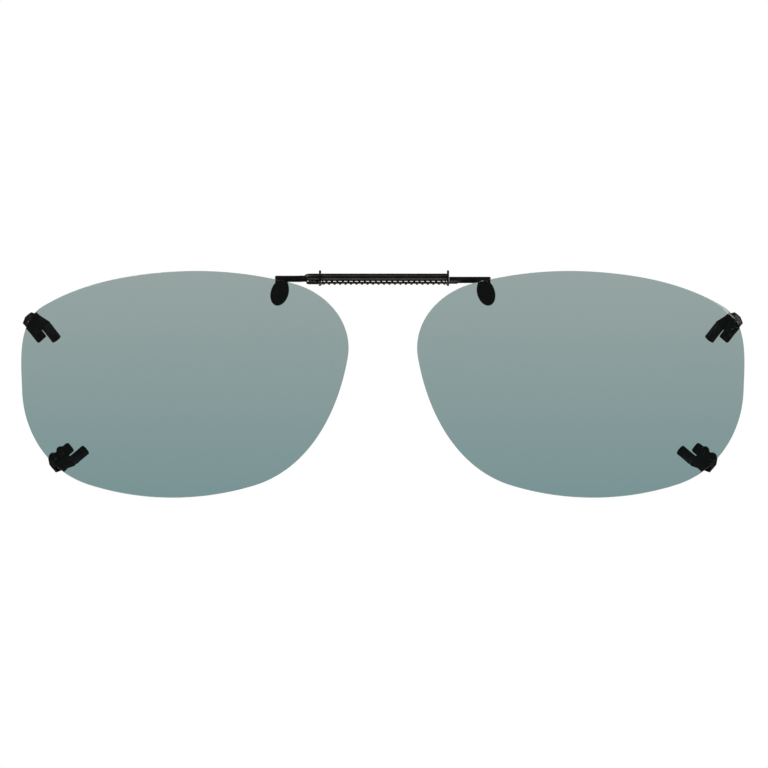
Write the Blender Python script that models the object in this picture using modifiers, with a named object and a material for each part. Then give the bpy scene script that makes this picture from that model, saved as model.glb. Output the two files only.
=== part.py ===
"""Clip-on sunglasses: two rimless tinted lenses on a sprung, sliding bridge, with four sleeved prongs.

The glasses stand upright as worn. +Z is up, the lenses face -Y, and left and right are as seen from
the front. The origin is midway between the lenses, at the middle of their height, where the front
of the spectacles underneath lies. Units are metres.
"""
import math

import bmesh
import bpy
from mathutils import Matrix, Vector

MM = 0.001

# Lenses
LENS_WIDTH = 54.0 * MM
LENS_HEIGHT = 37.4 * MM
LENS_GAP = 11.4 * MM            # between the nose edges
LENS_THICKNESS = 1.1 * MM
LENS_RADIUS = 106.0 * MM        # of the front surface, a five base curve
LENS_WRAP = math.radians(4.0)   # each lens turns back towards its temple
RIM_STEPS = 14                  # straight edges for each stretch of the outline
SHEET_MARGIN = 2.0 * MM         # spare width that the outline trims from the curved blank
# The left lens's outline on a 54.0 by 37.4 mm eye: x and z from the lens centre in mm, and the
# heading of the rim in degrees, going round from the nose edge over the top.
NOMINAL_EYE = (54.0, 37.4)
OUTLINE = (
    (26.90, 4.33, 80.0),
    (17.87, 16.62, 165.4),
    (-2.28, 18.54, 183.8),
    (-23.22, 12.98, 210.4),
    (-26.85, -1.18, 272.1),
    (-15.84, -16.58, 342.3),
    (11.38, -16.75, 376.7),
)

# Gaps between pieces
BOND_GAP = 0.05 * MM            # adhesive between a lens and what is bonded to it
SEAT_GAP = 0.03 * MM            # pressed or riveted together
SLIDE_GAP = 0.06 * MM           # running fit, on the radius

# Prongs: a stamped strip with a foot on the lens, a wall outside its edge and a hook behind
STRIP_THICKNESS = 0.40 * MM
BEND_RADIUS = 0.45 * MM         # to the middle of the strip
STRIP_CORNER = 0.40 * MM        # radius on the tips of the foot and the hook
FOOT_WIDTH = 1.80 * MM
FOOT_TIP = 1.75 * MM            # from the inner stud to the foot's tip
HOOK_WIDTH = 1.00 * MM
HOOK_SLOT = 2.6 * MM            # room for the spectacle lens and rim
WALL_REACH = 3.15 * MM          # from the inner stud out to the wall's middle
WALL_BOW = 0.50 * MM            # how far the wall's sides curl back in
WALL_FLAT = 0.5                 # share of the wall's width that stays flat
# The left lens's prongs: the place of the inner stud from the lens centre in mm on the nominal eye,
# the way the foot points in degrees above +X, the side of the studs that the hook is on (1 is the
# right), and how far to that side the middles of the foot and of the hook lie.
PRONGS = (
    ("upper", -24.75, 8.59, -52.0, -1, 0.15 * MM, 1.30 * MM),
    ("lower", -20.47, -10.94, 40.0, 1, 0.55 * MM, 2.15 * MM),
)

# Studs that hold the foot
STUD_PITCH = 1.65 * MM
STUD_HEAD_RADIUS = 0.72 * MM
STUD_HEAD_HEIGHT = 0.32 * MM
STUD_SHANK_RADIUS = 0.28 * MM
STUD_TAIL_RADIUS = 0.44 * MM
STUD_TAIL_HEIGHT = 0.12 * MM
STUD_CROWN = 0.22 * MM          # rounding of the head
STUD_TAIL_EDGE = 0.05 * MM      # chamfer

# Vinyl sleeves on the hooks
SLEEVE_RADIUS = 0.88 * MM
SLEEVE_EDGE = 0.10 * MM         # chamfer
SLEEVE_LENGTH = 2.85 * MM
SLEEVE_TIP = 2.25 * MM          # from the inner stud to the sleeve's end
SLEEVE_LIP = 0.25 * MM          # sleeve beyond the hook's end

# Sprung bridge
TUBE_DROP = 1.02 * MM           # tube axis below the top of the lenses
TUBE_RADIUS = 0.575 * MM
TUBE_BORE = 0.30 * MM
TUBE_TAPER = 1.1 * MM           # length of the end that is swaged down on the left arm
TUBE_LIP = 0.36 * MM            # outside radius where the taper ends
ROD_RADIUS = 0.18 * MM
SPRING_RADIUS = 0.40 * MM       # outside of the coil
SPRING_WIRE = 0.17 * MM         # diameter
SPRING_PITCH = 0.89 * MM
SPRING_END_GAP = 0.12 * MM      # between the wires of the closer turn at each end
PLATE_SPAN = 20.76 * MM         # between the plates' facing sides
PLATE_SHIFT = 0.19 * MM         # middle of the span, right of the origin
PLATE_THICKNESS = 0.36 * MM
PLATE_WIDTH = 1.80 * MM
PLATE_TOP = 1.10 * MM           # above the tube axis
PLATE_FOOT = 0.46 * MM          # below the rod axis
TUBE_OVERHANG = 2.35 * MM       # tube left of the slide plate
ROD_END_RADIUS = 0.27 * MM
ROD_END_LENGTH = 2.05 * MM
ROD_END_TAPER = 0.45 * MM
ROD_SEAT = 1.4 * MM             # rod's length in the groove under the right arm

# Arms and the pads that carry them
ARM_THICKNESS = 0.70 * MM
ARM_HEIGHT = 1.05 * MM
LEFT_ARM_DROP = 0.30 * MM       # arm's middle below the tube axis
RIGHT_ARM_DROP = 0.48 * MM
TANG_WIDTH = 1.5 * MM           # arm's leg behind the pad
TANG_LENGTH = 3.3 * MM          # below the arm
ARM_CORNER = 0.15 * MM
ARM_EDGE = 0.08 * MM            # rounding of the edges
NECK_RADIUS = 0.25 * MM
NECK_LENGTH = 0.5 * MM
PAD_WIDTH = 3.0 * MM
PAD_HEIGHT = 4.3 * MM
PAD_LEAN = 0.35 * MM            # of the oval's top, towards the nose
PAD_SPOT = (15.65, 15.05)       # from the lens centre in mm on the nominal eye
PAD_MIN_THICKNESS = 0.35 * MM

FOOT_FRONT = BOND_GAP + STUD_HEAD_HEIGHT + SEAT_GAP
FOOT_MIDDLE = FOOT_FRONT + STRIP_THICKNESS / 2
STUD_TAIL_END = FOOT_FRONT + STRIP_THICKNESS + SEAT_GAP + STUD_TAIL_HEIGHT
HOOK_MIDDLE = STUD_TAIL_END + HOOK_SLOT + SLEEVE_RADIUS
LENS_CENTRE = (LENS_GAP + LENS_WIDTH) / 2
LENS_FRONT = -(LENS_THICKNESS + STUD_TAIL_END)
SPHERE_X = LENS_CENTRE - LENS_RADIUS * math.sin(LENS_WRAP)
SPHERE_Y = LENS_FRONT + LENS_RADIUS
EYE_SCALE = (LENS_WIDTH / (NOMINAL_EYE[0] * MM), LENS_HEIGHT / (NOMINAL_EYE[1] * MM))

TUBE_Z = LENS_HEIGHT / 2 - TUBE_DROP
ROD_Z = TUBE_Z - (TUBE_RADIUS + SPRING_RADIUS + SEAT_GAP)
SLIDE_PLATE_X = PLATE_SHIFT - PLATE_SPAN / 2 - PLATE_THICKNESS
FIXED_PLATE_X = PLATE_SHIFT + PLATE_SPAN / 2
TUBE_LEFT = SLIDE_PLATE_X - TUBE_OVERHANG
TUBE_RIGHT = FIXED_PLATE_X + PLATE_THICKNESS
ARM_STOP_X = TUBE_RIGHT + SEAT_GAP


# Fineness of the round shapes
TUBE_SIDES = 28
SLEEVE_SIDES = 24
ROD_SIDES = 16
STUD_SIDES = 14
PAD_SIDES = 32
PAD_CELLS = (44, 30)            # of the sheet that shapes the pads' fronts
COIL_STEPS = 12                 # in each turn of the spring
PLATE_STEPS = 12
TAPER_STEPS = 6
DOME_STEPS = 5
BEND_STEPS = 4
CORNER_STEPS = 3


# Scene and material helpers

def clear_scene():
    for item in list(bpy.data.objects):
        bpy.data.objects.remove(item, do_unlink=True)


def collection(name):
    made = bpy.data.collections.new(name)
    bpy.context.scene.collection.children.link(made)
    return made


def material(name, colour, roughness, metallic=0.0, alpha=1.0):
    made = bpy.data.materials.new(name)
    made.use_nodes = True
    shader = made.node_tree.nodes["Principled BSDF"]
    shader.inputs["Base Color"].default_value = (*colour, 1.0)
    shader.inputs["Roughness"].default_value = roughness
    shader.inputs["Metallic"].default_value = metallic
    shader.inputs["Alpha"].default_value = alpha
    return made


def lens_material():
    return material("tinted_lens", (0.27, 0.35, 0.345), 0.05, alpha=0.5)


def metal_material():
    return material("gunmetal", (0.03, 0.028, 0.027), 0.32, metallic=1.0)


def spring_material():
    return material("spring_steel", (0.10, 0.095, 0.09), 0.28, metallic=1.0)


def vinyl_material():
    return material("black_vinyl", (0.008, 0.008, 0.008), 0.55)


def pad_material():
    return material("black_acetate", (0.006, 0.006, 0.006), 0.22)


def add_object(name, mesh, finish, group):
    mesh.materials.clear()
    mesh.materials.append(finish)
    made = bpy.data.objects.new(name, mesh)
    group.objects.link(made)
    return made


def mesh_from(bm, name, smooth_angle=None):
    """Close off a bmesh with its faces pointing out, smooth up to the given angle."""
    bmesh.ops.remove_doubles(bm, verts=bm.verts, dist=1e-7)
    bmesh.ops.recalc_face_normals(bm, faces=bm.faces)
    mesh = bpy.data.meshes.new(name)
    bm.to_mesh(mesh)
    bm.free()
    if smooth_angle is not None:
        mesh.shade_smooth()
        mesh.set_sharp_from_angle(angle=math.radians(smooth_angle))
    return mesh


def hide_cutter(cutter):
    cutter.hide_render = True
    cutter.display_type = "WIRE"


def boolean(target, cutter, operation):
    step = target.modifiers.new(operation.lower() + "_" + cutter.name, "BOOLEAN")
    step.operation = operation
    step.solver = "EXACT"
    step.object = cutter
    return step


# Shape helpers

def turned_mesh(name, profile, segments, smooth_angle=35.0):
    """Spin a profile of (place along X, radius) pairs about the X axis."""
    bm = bmesh.new()
    verts = [bm.verts.new((along, 0.0, radius)) for along, radius in profile]
    edges = [bm.edges.new(pair) for pair in zip(verts, verts[1:])]
    if profile[0][1] > 0:
        edges.append(bm.edges.new((verts[-1], verts[0])))
    bmesh.ops.spin(bm, geom=verts + edges, axis=(1, 0, 0), cent=(0, 0, 0),
                   angle=math.tau, steps=segments, use_merge=True)
    return mesh_from(bm, name, smooth_angle)


def rod_mesh(name, start, end, radius, segments):
    return turned_mesh(name, ((start, 0.0), (start, radius), (end, radius), (end, 0.0)), segments)


def box_mesh(name, low, high):
    bm = bmesh.new()
    size = Vector(high) - Vector(low)
    middle = (Vector(high) + Vector(low)) / 2
    bmesh.ops.create_cube(bm, size=1.0, matrix=Matrix.Translation(middle) @ Matrix.Diagonal((*size, 1.0)))
    return mesh_from(bm, name)


def arc_handles(here, ahead):
    """Handles that carry a curve between two (x, z, heading) points as near to an arc as they allow."""
    turn = (ahead[2] - here[2] + math.pi) % math.tau - math.pi
    chord = math.hypot(ahead[0] - here[0], ahead[1] - here[1])
    reach = chord / (3 * math.cos(turn / 4) ** 2)
    leaving = (here[0] + reach * math.cos(here[2]), here[1] + reach * math.sin(here[2]))
    arriving = (ahead[0] - reach * math.cos(ahead[2]), ahead[1] - reach * math.sin(ahead[2]))
    return leaving, arriving


def flat_curve_mesh(name, spline_maker, half_depth, steps=1):
    """Fill a closed 2D outline, give it depth, stand it up facing -Y and return it as a mesh."""
    curve = bpy.data.curves.new(name, "CURVE")
    curve.dimensions = "2D"
    curve.fill_mode = "BOTH"
    curve.extrude = half_depth
    curve.resolution_u = steps
    spline_maker(curve)
    holder = bpy.data.objects.new(name, curve)
    bpy.context.scene.collection.objects.link(holder)
    bpy.context.view_layer.update()
    evaluated = holder.evaluated_get(bpy.context.evaluated_depsgraph_get())
    filled = bpy.data.meshes.new_from_object(evaluated)
    bm = bmesh.new()
    bm.from_mesh(filled)
    bmesh.ops.rotate(bm, verts=bm.verts, cent=(0, 0, 0), matrix=Matrix.Rotation(math.pi / 2, 3, "X"))
    bpy.data.objects.remove(holder, do_unlink=True)
    bpy.data.meshes.remove(filled)
    return mesh_from(bm, name)


def lens_outline(curve):
    scale_x, scale_z = (EYE_SCALE[0] * MM, EYE_SCALE[1] * MM)
    points = [(x, z, math.radians(heading)) for x, z, heading in OUTLINE]
    spline = curve.splines.new("BEZIER")
    spline.bezier_points.add(len(points) - 1)
    spline.use_cyclic_u = True
    for index, here in enumerate(points):
        ahead = points[(index + 1) % len(points)]
        leaving, arriving = arc_handles(here, ahead)
        point = spline.bezier_points[index]
        after = spline.bezier_points[(index + 1) % len(points)]
        point.handle_left_type = point.handle_right_type = "FREE"
        point.co = (here[0] * scale_x, here[1] * scale_z, 0)
        point.handle_right = (leaving[0] * scale_x, leaving[1] * scale_z, 0)
        after.handle_left = (arriving[0] * scale_x, arriving[1] * scale_z, 0)


def corner_outline(points):
    """A maker for a closed outline of straight runs through (x, z) points."""
    def make(curve):
        spline = curve.splines.new("POLY")
        spline.points.add(len(points) - 1)
        spline.use_cyclic_u = True
        for point, (x, z) in zip(spline.points, points):
            point.co = (x, z, 0, 1)
    return make


def lens_depth(x, z, inset):
    """Y of a surface that lies inset behind the front of the left lens."""
    reach = LENS_RADIUS - inset
    return SPHERE_Y - math.sqrt(reach ** 2 - (x + SPHERE_X) ** 2 - z ** 2)


def curved_sheet(name, inset, thickness, cells):
    """A closed sheet that follows the left lens's curve, wider than the lens."""
    bm = bmesh.new()
    bmesh.ops.create_grid(bm, x_segments=cells[0], y_segments=cells[1], size=0.5)
    for vert in bm.verts:
        x = vert.co.x * (LENS_WIDTH + SHEET_MARGIN) - LENS_CENTRE
        z = vert.co.y * (LENS_HEIGHT + SHEET_MARGIN)
        vert.co = (x, lens_depth(x, z, inset), z)
    front = list(bm.faces)
    back = bmesh.ops.extrude_face_region(bm, geom=front)["geom"]
    for vert in (item for item in back if isinstance(item, bmesh.types.BMVert)):
        vert.co.y = lens_depth(vert.co.x, vert.co.z, inset + thickness)
    return mesh_from(bm, name, 30.0)


# Pieces. Each is made on the left and mirrored where it has a twin.

def mirrored(mesh, name):
    """A copy of a mesh reflected in the plane between the lenses."""
    bm = bmesh.new()
    bm.from_mesh(mesh)
    bmesh.ops.scale(bm, vec=(-1, 1, 1), verts=bm.verts)
    bmesh.ops.recalc_face_normals(bm, faces=bm.faces)
    copy = mesh.copy()
    copy.name = name
    bm.to_mesh(copy)
    bm.free()
    return copy


def evaluated_mesh(item):
    """The item's mesh with its modifiers and place taken into it."""
    bpy.context.view_layer.update()
    evaluated = item.evaluated_get(bpy.context.evaluated_depsgraph_get())
    mesh = bpy.data.meshes.new_from_object(evaluated)
    mesh.transform(item.matrix_world)
    return mesh


def add_pair(item, finish, group):
    """Give a left piece its mirrored right twin."""
    twin = mirrored(evaluated_mesh(item), item.name.replace("left", "right"))
    return add_object(twin.name, twin, finish, group)


def make_lens(finish, group, cutters):
    lens = add_object("left_lens", curved_sheet("left_lens", 0.0, LENS_THICKNESS, (22, 15)), finish, group)
    prism = flat_curve_mesh("lens_prism", lens_outline, LENS_RADIUS / 2, RIM_STEPS)
    prism.transform(Matrix.Translation((-LENS_CENTRE, 0, 0)))
    cutter = add_object("lens_prism", prism, finish, cutters)
    hide_cutter(cutter)
    boolean(lens, cutter, "INTERSECT")
    add_pair(lens, finish, group)


def prong_frame(spot_x, spot_z, heading):
    """Axes on the lens back: X along the foot, Y to its right seen from the front, Z away from the lens."""
    x = spot_x * EYE_SCALE[0] * MM - LENS_CENTRE
    z = spot_z * EYE_SCALE[1] * MM
    place = Vector((x, lens_depth(x, z, LENS_THICKNESS), z))
    inward = (Vector((-SPHERE_X, SPHERE_Y, 0)) - place).normalized()
    angle = math.radians(heading)
    along = Vector((math.cos(angle), 0, math.sin(angle)))
    along.y = -(along.x * inward.x + along.z * inward.z) / inward.y
    along.normalize()
    turn = Matrix((along, inward.cross(along), inward)).transposed()
    return Matrix.Translation(place) @ turn.to_4x4()


def new_edge(geometry):
    return next(item for item in geometry if isinstance(item, bmesh.types.BMEdge)
                and all(vert in geometry for vert in item.verts))


def bend(bm, edge, centre, turn):
    """Carry an edge of the strip round a right angle about the width of the strip."""
    spun = bmesh.ops.spin(bm, geom=[edge, *edge.verts], axis=(0, 1, 0), cent=centre,
                          angle=turn, steps=BEND_STEPS, use_duplicate=False)
    return new_edge(spun["geom_last"])


def extend(bm, edge, shift):
    """Carry an edge of the strip straight on."""
    grown = bmesh.ops.extrude_edge_only(bm, edges=[edge])["geom"]
    carried = [item for item in grown if isinstance(item, bmesh.types.BMVert)]
    bmesh.ops.translate(bm, vec=shift, verts=carried)
    return new_edge(grown)


def edge_between(bm, side, columns, height):
    """The wall's edge between two neighbouring columns at one height."""
    return next(edge for edge in bm.edges if all(
        math.isclose(vert.co.z, height, rel_tol=1e-5)
        and any(math.isclose(vert.co.y, side * column, abs_tol=1e-6) for column in columns)
        for vert in edge.verts))


def inside(pair, span):
    """True for neighbouring columns that lie in a span of the strip's width."""
    return span[0] < (pair[0] + pair[1]) / 2 < span[1]


def bow_wall(bm, low, high):
    """Curl the sides of the wall, and of its bends, back towards the lens's middle."""
    middle = (low + high) / 2
    half = abs(high - low) / 2
    for vert in bm.verts:
        if vert.co.x < BEND_RADIUS - WALL_REACH + SEAT_GAP:
            share = (abs(vert.co.y - middle) / half - WALL_FLAT) / (1 - WALL_FLAT)
            vert.co.x += WALL_BOW * max(share, 0.0) ** 2


def prong_strip(name, side, foot_side, hook_side):
    """The strip's middle surface: a wall with the foot bent off its front and, off its rear, a web that
    the sleeve seats against and the hook that runs on from it."""
    bm = bmesh.new()
    front = FOOT_MIDDLE + BEND_RADIUS
    rear = HOOK_MIDDLE - BEND_RADIUS
    bend_x = BEND_RADIUS - WALL_REACH
    web_end = SLEEVE_TIP - SLEEVE_LENGTH - SEAT_GAP
    hook_tip = SLEEVE_TIP - SLEEVE_LIP
    foot = (foot_side - FOOT_WIDTH / 2, foot_side + FOOT_WIDTH / 2)
    hook = (hook_side - HOOK_WIDTH / 2, hook_side + HOOK_WIDTH / 2)
    web = (foot_side, hook_side + SLEEVE_RADIUS)
    columns = sorted({*foot, *hook, *web, hook_side})
    verts = [bm.verts.new((-WALL_REACH, side * column, front)) for column in columns]
    for pair in zip(verts, verts[1:]):
        extend(bm, bm.edges.new(pair), (0, 0, rear - front))
    bmesh.ops.remove_doubles(bm, verts=bm.verts, dist=1e-7)
    for pair in zip(columns, columns[1:]):
        if inside(pair, foot):
            bent = bend(bm, edge_between(bm, side, pair, front), (bend_x, 0, front), -math.pi / 2)
            extend(bm, bent, (FOOT_TIP - bend_x, 0, 0))
        if inside(pair, web):
            bent = bend(bm, edge_between(bm, side, pair, rear), (bend_x, 0, rear), math.pi / 2)
            root = extend(bm, bent, (web_end - bend_x, 0, 0))
            if inside(pair, hook):
                extend(bm, root, (hook_tip - web_end, 0, 0))
    bmesh.ops.remove_doubles(bm, verts=bm.verts, dist=1e-7)
    bow_wall(bm, side * columns[0], side * columns[-1])
    corners = [vert for vert in bm.verts if len(vert.link_edges) == 2 and vert.co.x > bend_x]
    bmesh.ops.bevel(bm, geom=corners, offset=STRIP_CORNER, segments=CORNER_STEPS, profile=0.5,
                    affect="VERTICES", clamp_overlap=True)
    return mesh_from(bm, name)


def make_prong(name, strip, place, finish, group, cutters):
    prong = add_object(name, strip, finish, group)
    prong.matrix_world = place
    wall = prong.modifiers.new("strip", "SOLIDIFY")
    wall.thickness = STRIP_THICKNESS
    wall.offset = 0.0
    wall.use_even_offset = True
    for index in range(2):
        hole = rod_mesh("hole", FOOT_FRONT - STRIP_THICKNESS, FOOT_FRONT + 2 * STRIP_THICKNESS,
                        STUD_SHANK_RADIUS + SEAT_GAP, ROD_SIDES)
        hole.transform(stud_turn(index))
        cutter = add_object(name + "_hole_" + str(index), hole, finish, cutters)
        cutter.matrix_world = place
        hide_cutter(cutter)
        boolean(prong, cutter, "DIFFERENCE")
    return prong


def stud_turn(index):
    """From the turned shape's own axis to the stud's place in the prong's frame."""
    return Matrix.Translation((-index * STUD_PITCH, 0, 0)) @ Matrix.Rotation(-math.pi / 2, 4, "Y")


def stud_mesh(name):
    """A round headed rivet: the domed head lies on the lens, the tail is spread behind the foot."""
    head_back = BOND_GAP + STUD_HEAD_HEIGHT
    dome = [(BOND_GAP + STUD_CROWN * (1 - math.cos(math.pi / 2 * step / DOME_STEPS)),
             STUD_HEAD_RADIUS - STUD_CROWN + STUD_CROWN * math.sin(math.pi / 2 * step / DOME_STEPS))
            for step in range(DOME_STEPS + 1)]
    tail_front = FOOT_FRONT + STRIP_THICKNESS + SEAT_GAP
    profile = [(BOND_GAP, 0.0), *dome, (head_back, STUD_HEAD_RADIUS), (head_back, STUD_SHANK_RADIUS),
               (tail_front, STUD_SHANK_RADIUS), (tail_front, STUD_TAIL_RADIUS),
               (STUD_TAIL_END - STUD_TAIL_EDGE, STUD_TAIL_RADIUS),
               (STUD_TAIL_END, STUD_TAIL_RADIUS - STUD_TAIL_EDGE), (STUD_TAIL_END, 0.0)]
    return turned_mesh(name, profile, STUD_SIDES)


def make_stud(name, index, place, finish, group):
    mesh = stud_mesh(name)
    mesh.transform(stud_turn(index))
    stud = add_object(name, mesh, finish, group)
    stud.matrix_world = place
    return stud


def make_sleeve(name, hook_y, place, finish, group, cutters):
    """A cut length of vinyl tube, open at both ends, over the flat hook."""
    start = SLEEVE_TIP - SLEEVE_LENGTH
    rim = SLEEVE_RADIUS - SLEEVE_EDGE
    profile = ((start, 0.0), (start, rim), (start + SLEEVE_EDGE, SLEEVE_RADIUS),
               (SLEEVE_TIP - SLEEVE_EDGE, SLEEVE_RADIUS), (SLEEVE_TIP, rim), (SLEEVE_TIP, 0.0))
    shift = Matrix.Translation((0, hook_y, HOOK_MIDDLE))
    mesh = turned_mesh(name, profile, SLEEVE_SIDES)
    mesh.transform(shift)
    sleeve = add_object(name, mesh, finish, group)
    sleeve.matrix_world = place
    half_width = HOOK_WIDTH / 2 + SEAT_GAP
    half_depth = STRIP_THICKNESS / 2 + SEAT_GAP
    slot = box_mesh("slot", (start - SLEEVE_LENGTH / 2, -half_width, -half_depth),
                    (SLEEVE_TIP + SLEEVE_LENGTH / 2, half_width, half_depth))
    slot.transform(shift)
    cutter = add_object(name + "_slot", slot, finish, cutters)
    cutter.matrix_world = place
    hide_cutter(cutter)
    boolean(sleeve, cutter, "DIFFERENCE")
    return sleeve


def make_prongs(metal, vinyl, group, cutters):
    for level, spot_x, spot_z, heading, side, foot_side, hook_side in PRONGS:
        place = prong_frame(spot_x, spot_z, heading)
        name = "left_" + level
        strip = prong_strip(name + "_prong", side, foot_side, hook_side)
        hook_y = side * hook_side
        add_pair(make_prong(name + "_prong", strip, place, metal, group, cutters), metal, group)
        add_pair(make_sleeve(name + "_sleeve", hook_y, place, vinyl, group, cutters), vinyl, group)
        for index, spot in enumerate(("inner", "outer")):
            add_pair(make_stud(name + "_stud_" + spot, index, place, metal, group), metal, group)


def pad_spot():
    return (PAD_SPOT[0] * EYE_SCALE[0] * MM - LENS_CENTRE, PAD_SPOT[1] * EYE_SCALE[1] * MM)


def pad_back():
    """Y of the flat backs of the pads."""
    x, z = pad_spot()
    top = lens_depth(x + PAD_WIDTH / 2, z + PAD_HEIGHT / 2, LENS_THICKNESS)
    return top + BOND_GAP + PAD_MIN_THICKNESS


def bridge_y():
    return pad_back() + BOND_GAP + ARM_THICKNESS / 2


def pad_outline():
    """An oval whose top leans towards the nose."""
    x, z = pad_spot()
    outline = []
    for index in range(PAD_SIDES):
        angle = math.tau * index / PAD_SIDES
        lean = PAD_LEAN * math.sin(angle)
        outline.append((x + PAD_WIDTH / 2 * math.cos(angle) + lean, z + PAD_HEIGHT / 2 * math.sin(angle)))
    return outline


def make_pads(finish, group, cutters):
    """A black oval tab, its front shaped to the lens and its back flat for the arm."""
    back = pad_back()
    depth = PAD_MIN_THICKNESS + LENS_THICKNESS
    mesh = flat_curve_mesh("left_pad", corner_outline(pad_outline()), depth)
    mesh.transform(Matrix.Translation((0, back - depth, 0)))
    pad = add_object("left_pad", mesh, finish, group)
    sheet = curved_sheet("pad_cutter", -2 * LENS_THICKNESS, 3 * LENS_THICKNESS + BOND_GAP, PAD_CELLS)
    cutter = add_object("pad_cutter", sheet, finish, cutters)
    hide_cutter(cutter)
    boolean(pad, cutter, "DIFFERENCE")
    add_pair(pad, finish, group)


def arm_outline(end_x, middle_z):
    """A bar along the bridge with a leg that hangs behind the pad, for the left side."""
    pad_x = pad_spot()[0]
    top = middle_z + ARM_HEIGHT / 2
    bottom = middle_z - ARM_HEIGHT / 2
    outer = pad_x - TANG_WIDTH / 2
    inner = pad_x + TANG_WIDTH / 2
    foot = bottom - TANG_LENGTH
    corner = ARM_CORNER
    return [(end_x, top), (outer + corner, top), (outer, top - corner), (outer, foot + corner),
            (outer + corner, foot), (inner - corner, foot), (inner, foot + corner),
            (inner, bottom - corner), (inner + corner, bottom), (end_x, bottom)]


def arm_blank(name, end_x, middle_z):
    mesh = flat_curve_mesh(name, corner_outline(arm_outline(end_x, middle_z)), ARM_THICKNESS / 2)
    mesh.transform(Matrix.Translation((0, bridge_y(), 0)))
    return mesh


def soften_edges(item):
    step = item.modifiers.new("edges", "BEVEL")
    step.width = ARM_EDGE
    step.segments = 2
    step.limit_method = "ANGLE"
    step.angle_limit = math.radians(50.0)


def make_left_arm(finish, group, cutters):
    """The left arm ends in a round neck, on which the tube is swaged."""
    end_x = TUBE_LEFT - NECK_LENGTH
    arm = add_object("left_arm", arm_blank("left_arm", end_x, TUBE_Z - LEFT_ARM_DROP), finish, group)
    soften_edges(arm)
    neck = rod_mesh("neck", end_x - NECK_LENGTH, TUBE_LEFT + TUBE_TAPER, NECK_RADIUS, ROD_SIDES)
    neck.transform(Matrix.Translation((0, bridge_y(), TUBE_Z)))
    cutter = add_object("left_arm_neck", neck, finish, cutters)
    hide_cutter(cutter)
    boolean(arm, cutter, "UNION")


def make_right_arm(finish, group, cutters):
    """The right arm rests on the fixed plate, and the rod is brazed in a groove along its underside."""
    blank = mirrored(arm_blank("right_arm", -ARM_STOP_X, TUBE_Z - RIGHT_ARM_DROP), "right_arm")
    arm = add_object("right_arm", blank, finish, group)
    soften_edges(arm)
    groove = rod_mesh("groove", ARM_STOP_X - ROD_SEAT, ARM_STOP_X + ROD_SEAT, ROD_RADIUS + SEAT_GAP,
                      ROD_SIDES)
    groove.transform(Matrix.Translation((0, bridge_y(), ROD_Z)))
    cutter = add_object("right_arm_groove", groove, finish, cutters)
    hide_cutter(cutter)
    boolean(arm, cutter, "DIFFERENCE")


def make_guide_tube(finish, group):
    """The upper tube, with a tapered end where it is swaged on the left arm's neck."""
    turns = [math.pi / 2 * step / TAPER_STEPS for step in range(TAPER_STEPS + 1)]
    swell = TUBE_RADIUS - TUBE_LIP
    taper = [(TUBE_LEFT + TUBE_TAPER * (1 - math.cos(turn)), TUBE_LIP + swell * math.sin(turn))
             for turn in turns]
    profile = [(TUBE_LEFT, TUBE_BORE), *taper, (TUBE_RIGHT, TUBE_RADIUS), (TUBE_RIGHT, TUBE_BORE)]
    mesh = turned_mesh("guide_tube", profile, TUBE_SIDES)
    mesh.transform(Matrix.Translation((0, bridge_y(), TUBE_Z)))
    add_object("guide_tube", mesh, finish, group)


def rod_end_floor():
    """X of the bottom of the rod end's bore."""
    return SLIDE_PLATE_X - (ROD_END_LENGTH + SEAT_GAP) / 2


def make_slide_rod(finish, group):
    right = ARM_STOP_X + ROD_SEAT - SEAT_GAP
    mesh = rod_mesh("slide_rod", rod_end_floor() + SEAT_GAP, right, ROD_RADIUS, ROD_SIDES)
    mesh.transform(Matrix.Translation((0, bridge_y(), ROD_Z)))
    add_object("slide_rod", mesh, finish, group)


def make_rod_end(finish, group):
    """A crimped cap on the rod's tail that holds the slide plate."""
    right = SLIDE_PLATE_X - SEAT_GAP
    left = right - ROD_END_LENGTH
    bore = ROD_RADIUS + SEAT_GAP
    profile = ((left, 0.0), (left, ROD_RADIUS), (left + ROD_END_TAPER, ROD_END_RADIUS),
               (right, ROD_END_RADIUS), (right, bore), (rod_end_floor(), bore), (rod_end_floor(), 0.0))
    mesh = turned_mesh("rod_end", profile, ROD_SIDES)
    mesh.transform(Matrix.Translation((0, bridge_y(), ROD_Z)))
    add_object("rod_end", mesh, finish, group)


def plate_outline():
    """Upright plate with round ends, in the plane across the bridge."""
    half = PLATE_WIDTH / 2
    outline = []
    for middle, start in ((TUBE_Z + PLATE_TOP - half, 0.0), (ROD_Z - PLATE_FOOT + half, math.pi)):
        for step in range(PLATE_STEPS + 1):
            turn = start + math.pi * step / PLATE_STEPS
            outline.append((half * math.cos(turn), middle + half * math.sin(turn)))
    return outline


def make_plate(name, left_face, tube_gap, rod_gap, finish, group, cutters):
    mesh = flat_curve_mesh(name, corner_outline(plate_outline()), PLATE_THICKNESS / 2)
    mesh.transform(Matrix.Rotation(math.pi / 2, 4, "Z"))
    mesh.transform(Matrix.Translation((left_face + PLATE_THICKNESS / 2, bridge_y(), 0)))
    plate = add_object(name, mesh, finish, group)
    holes = (("tube", TUBE_RADIUS + tube_gap, TUBE_Z), ("rod", ROD_RADIUS + rod_gap, ROD_Z))
    for label, radius, height in holes:
        right_end = left_face + 2 * PLATE_THICKNESS
        hole = rod_mesh(label, left_face - PLATE_THICKNESS, right_end, radius, TUBE_SIDES)
        hole.transform(Matrix.Translation((0, bridge_y(), height)))
        cutter = add_object(name + "_" + label + "_hole", hole, finish, cutters)
        hide_cutter(cutter)
        boolean(plate, cutter, "DIFFERENCE")


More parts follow.
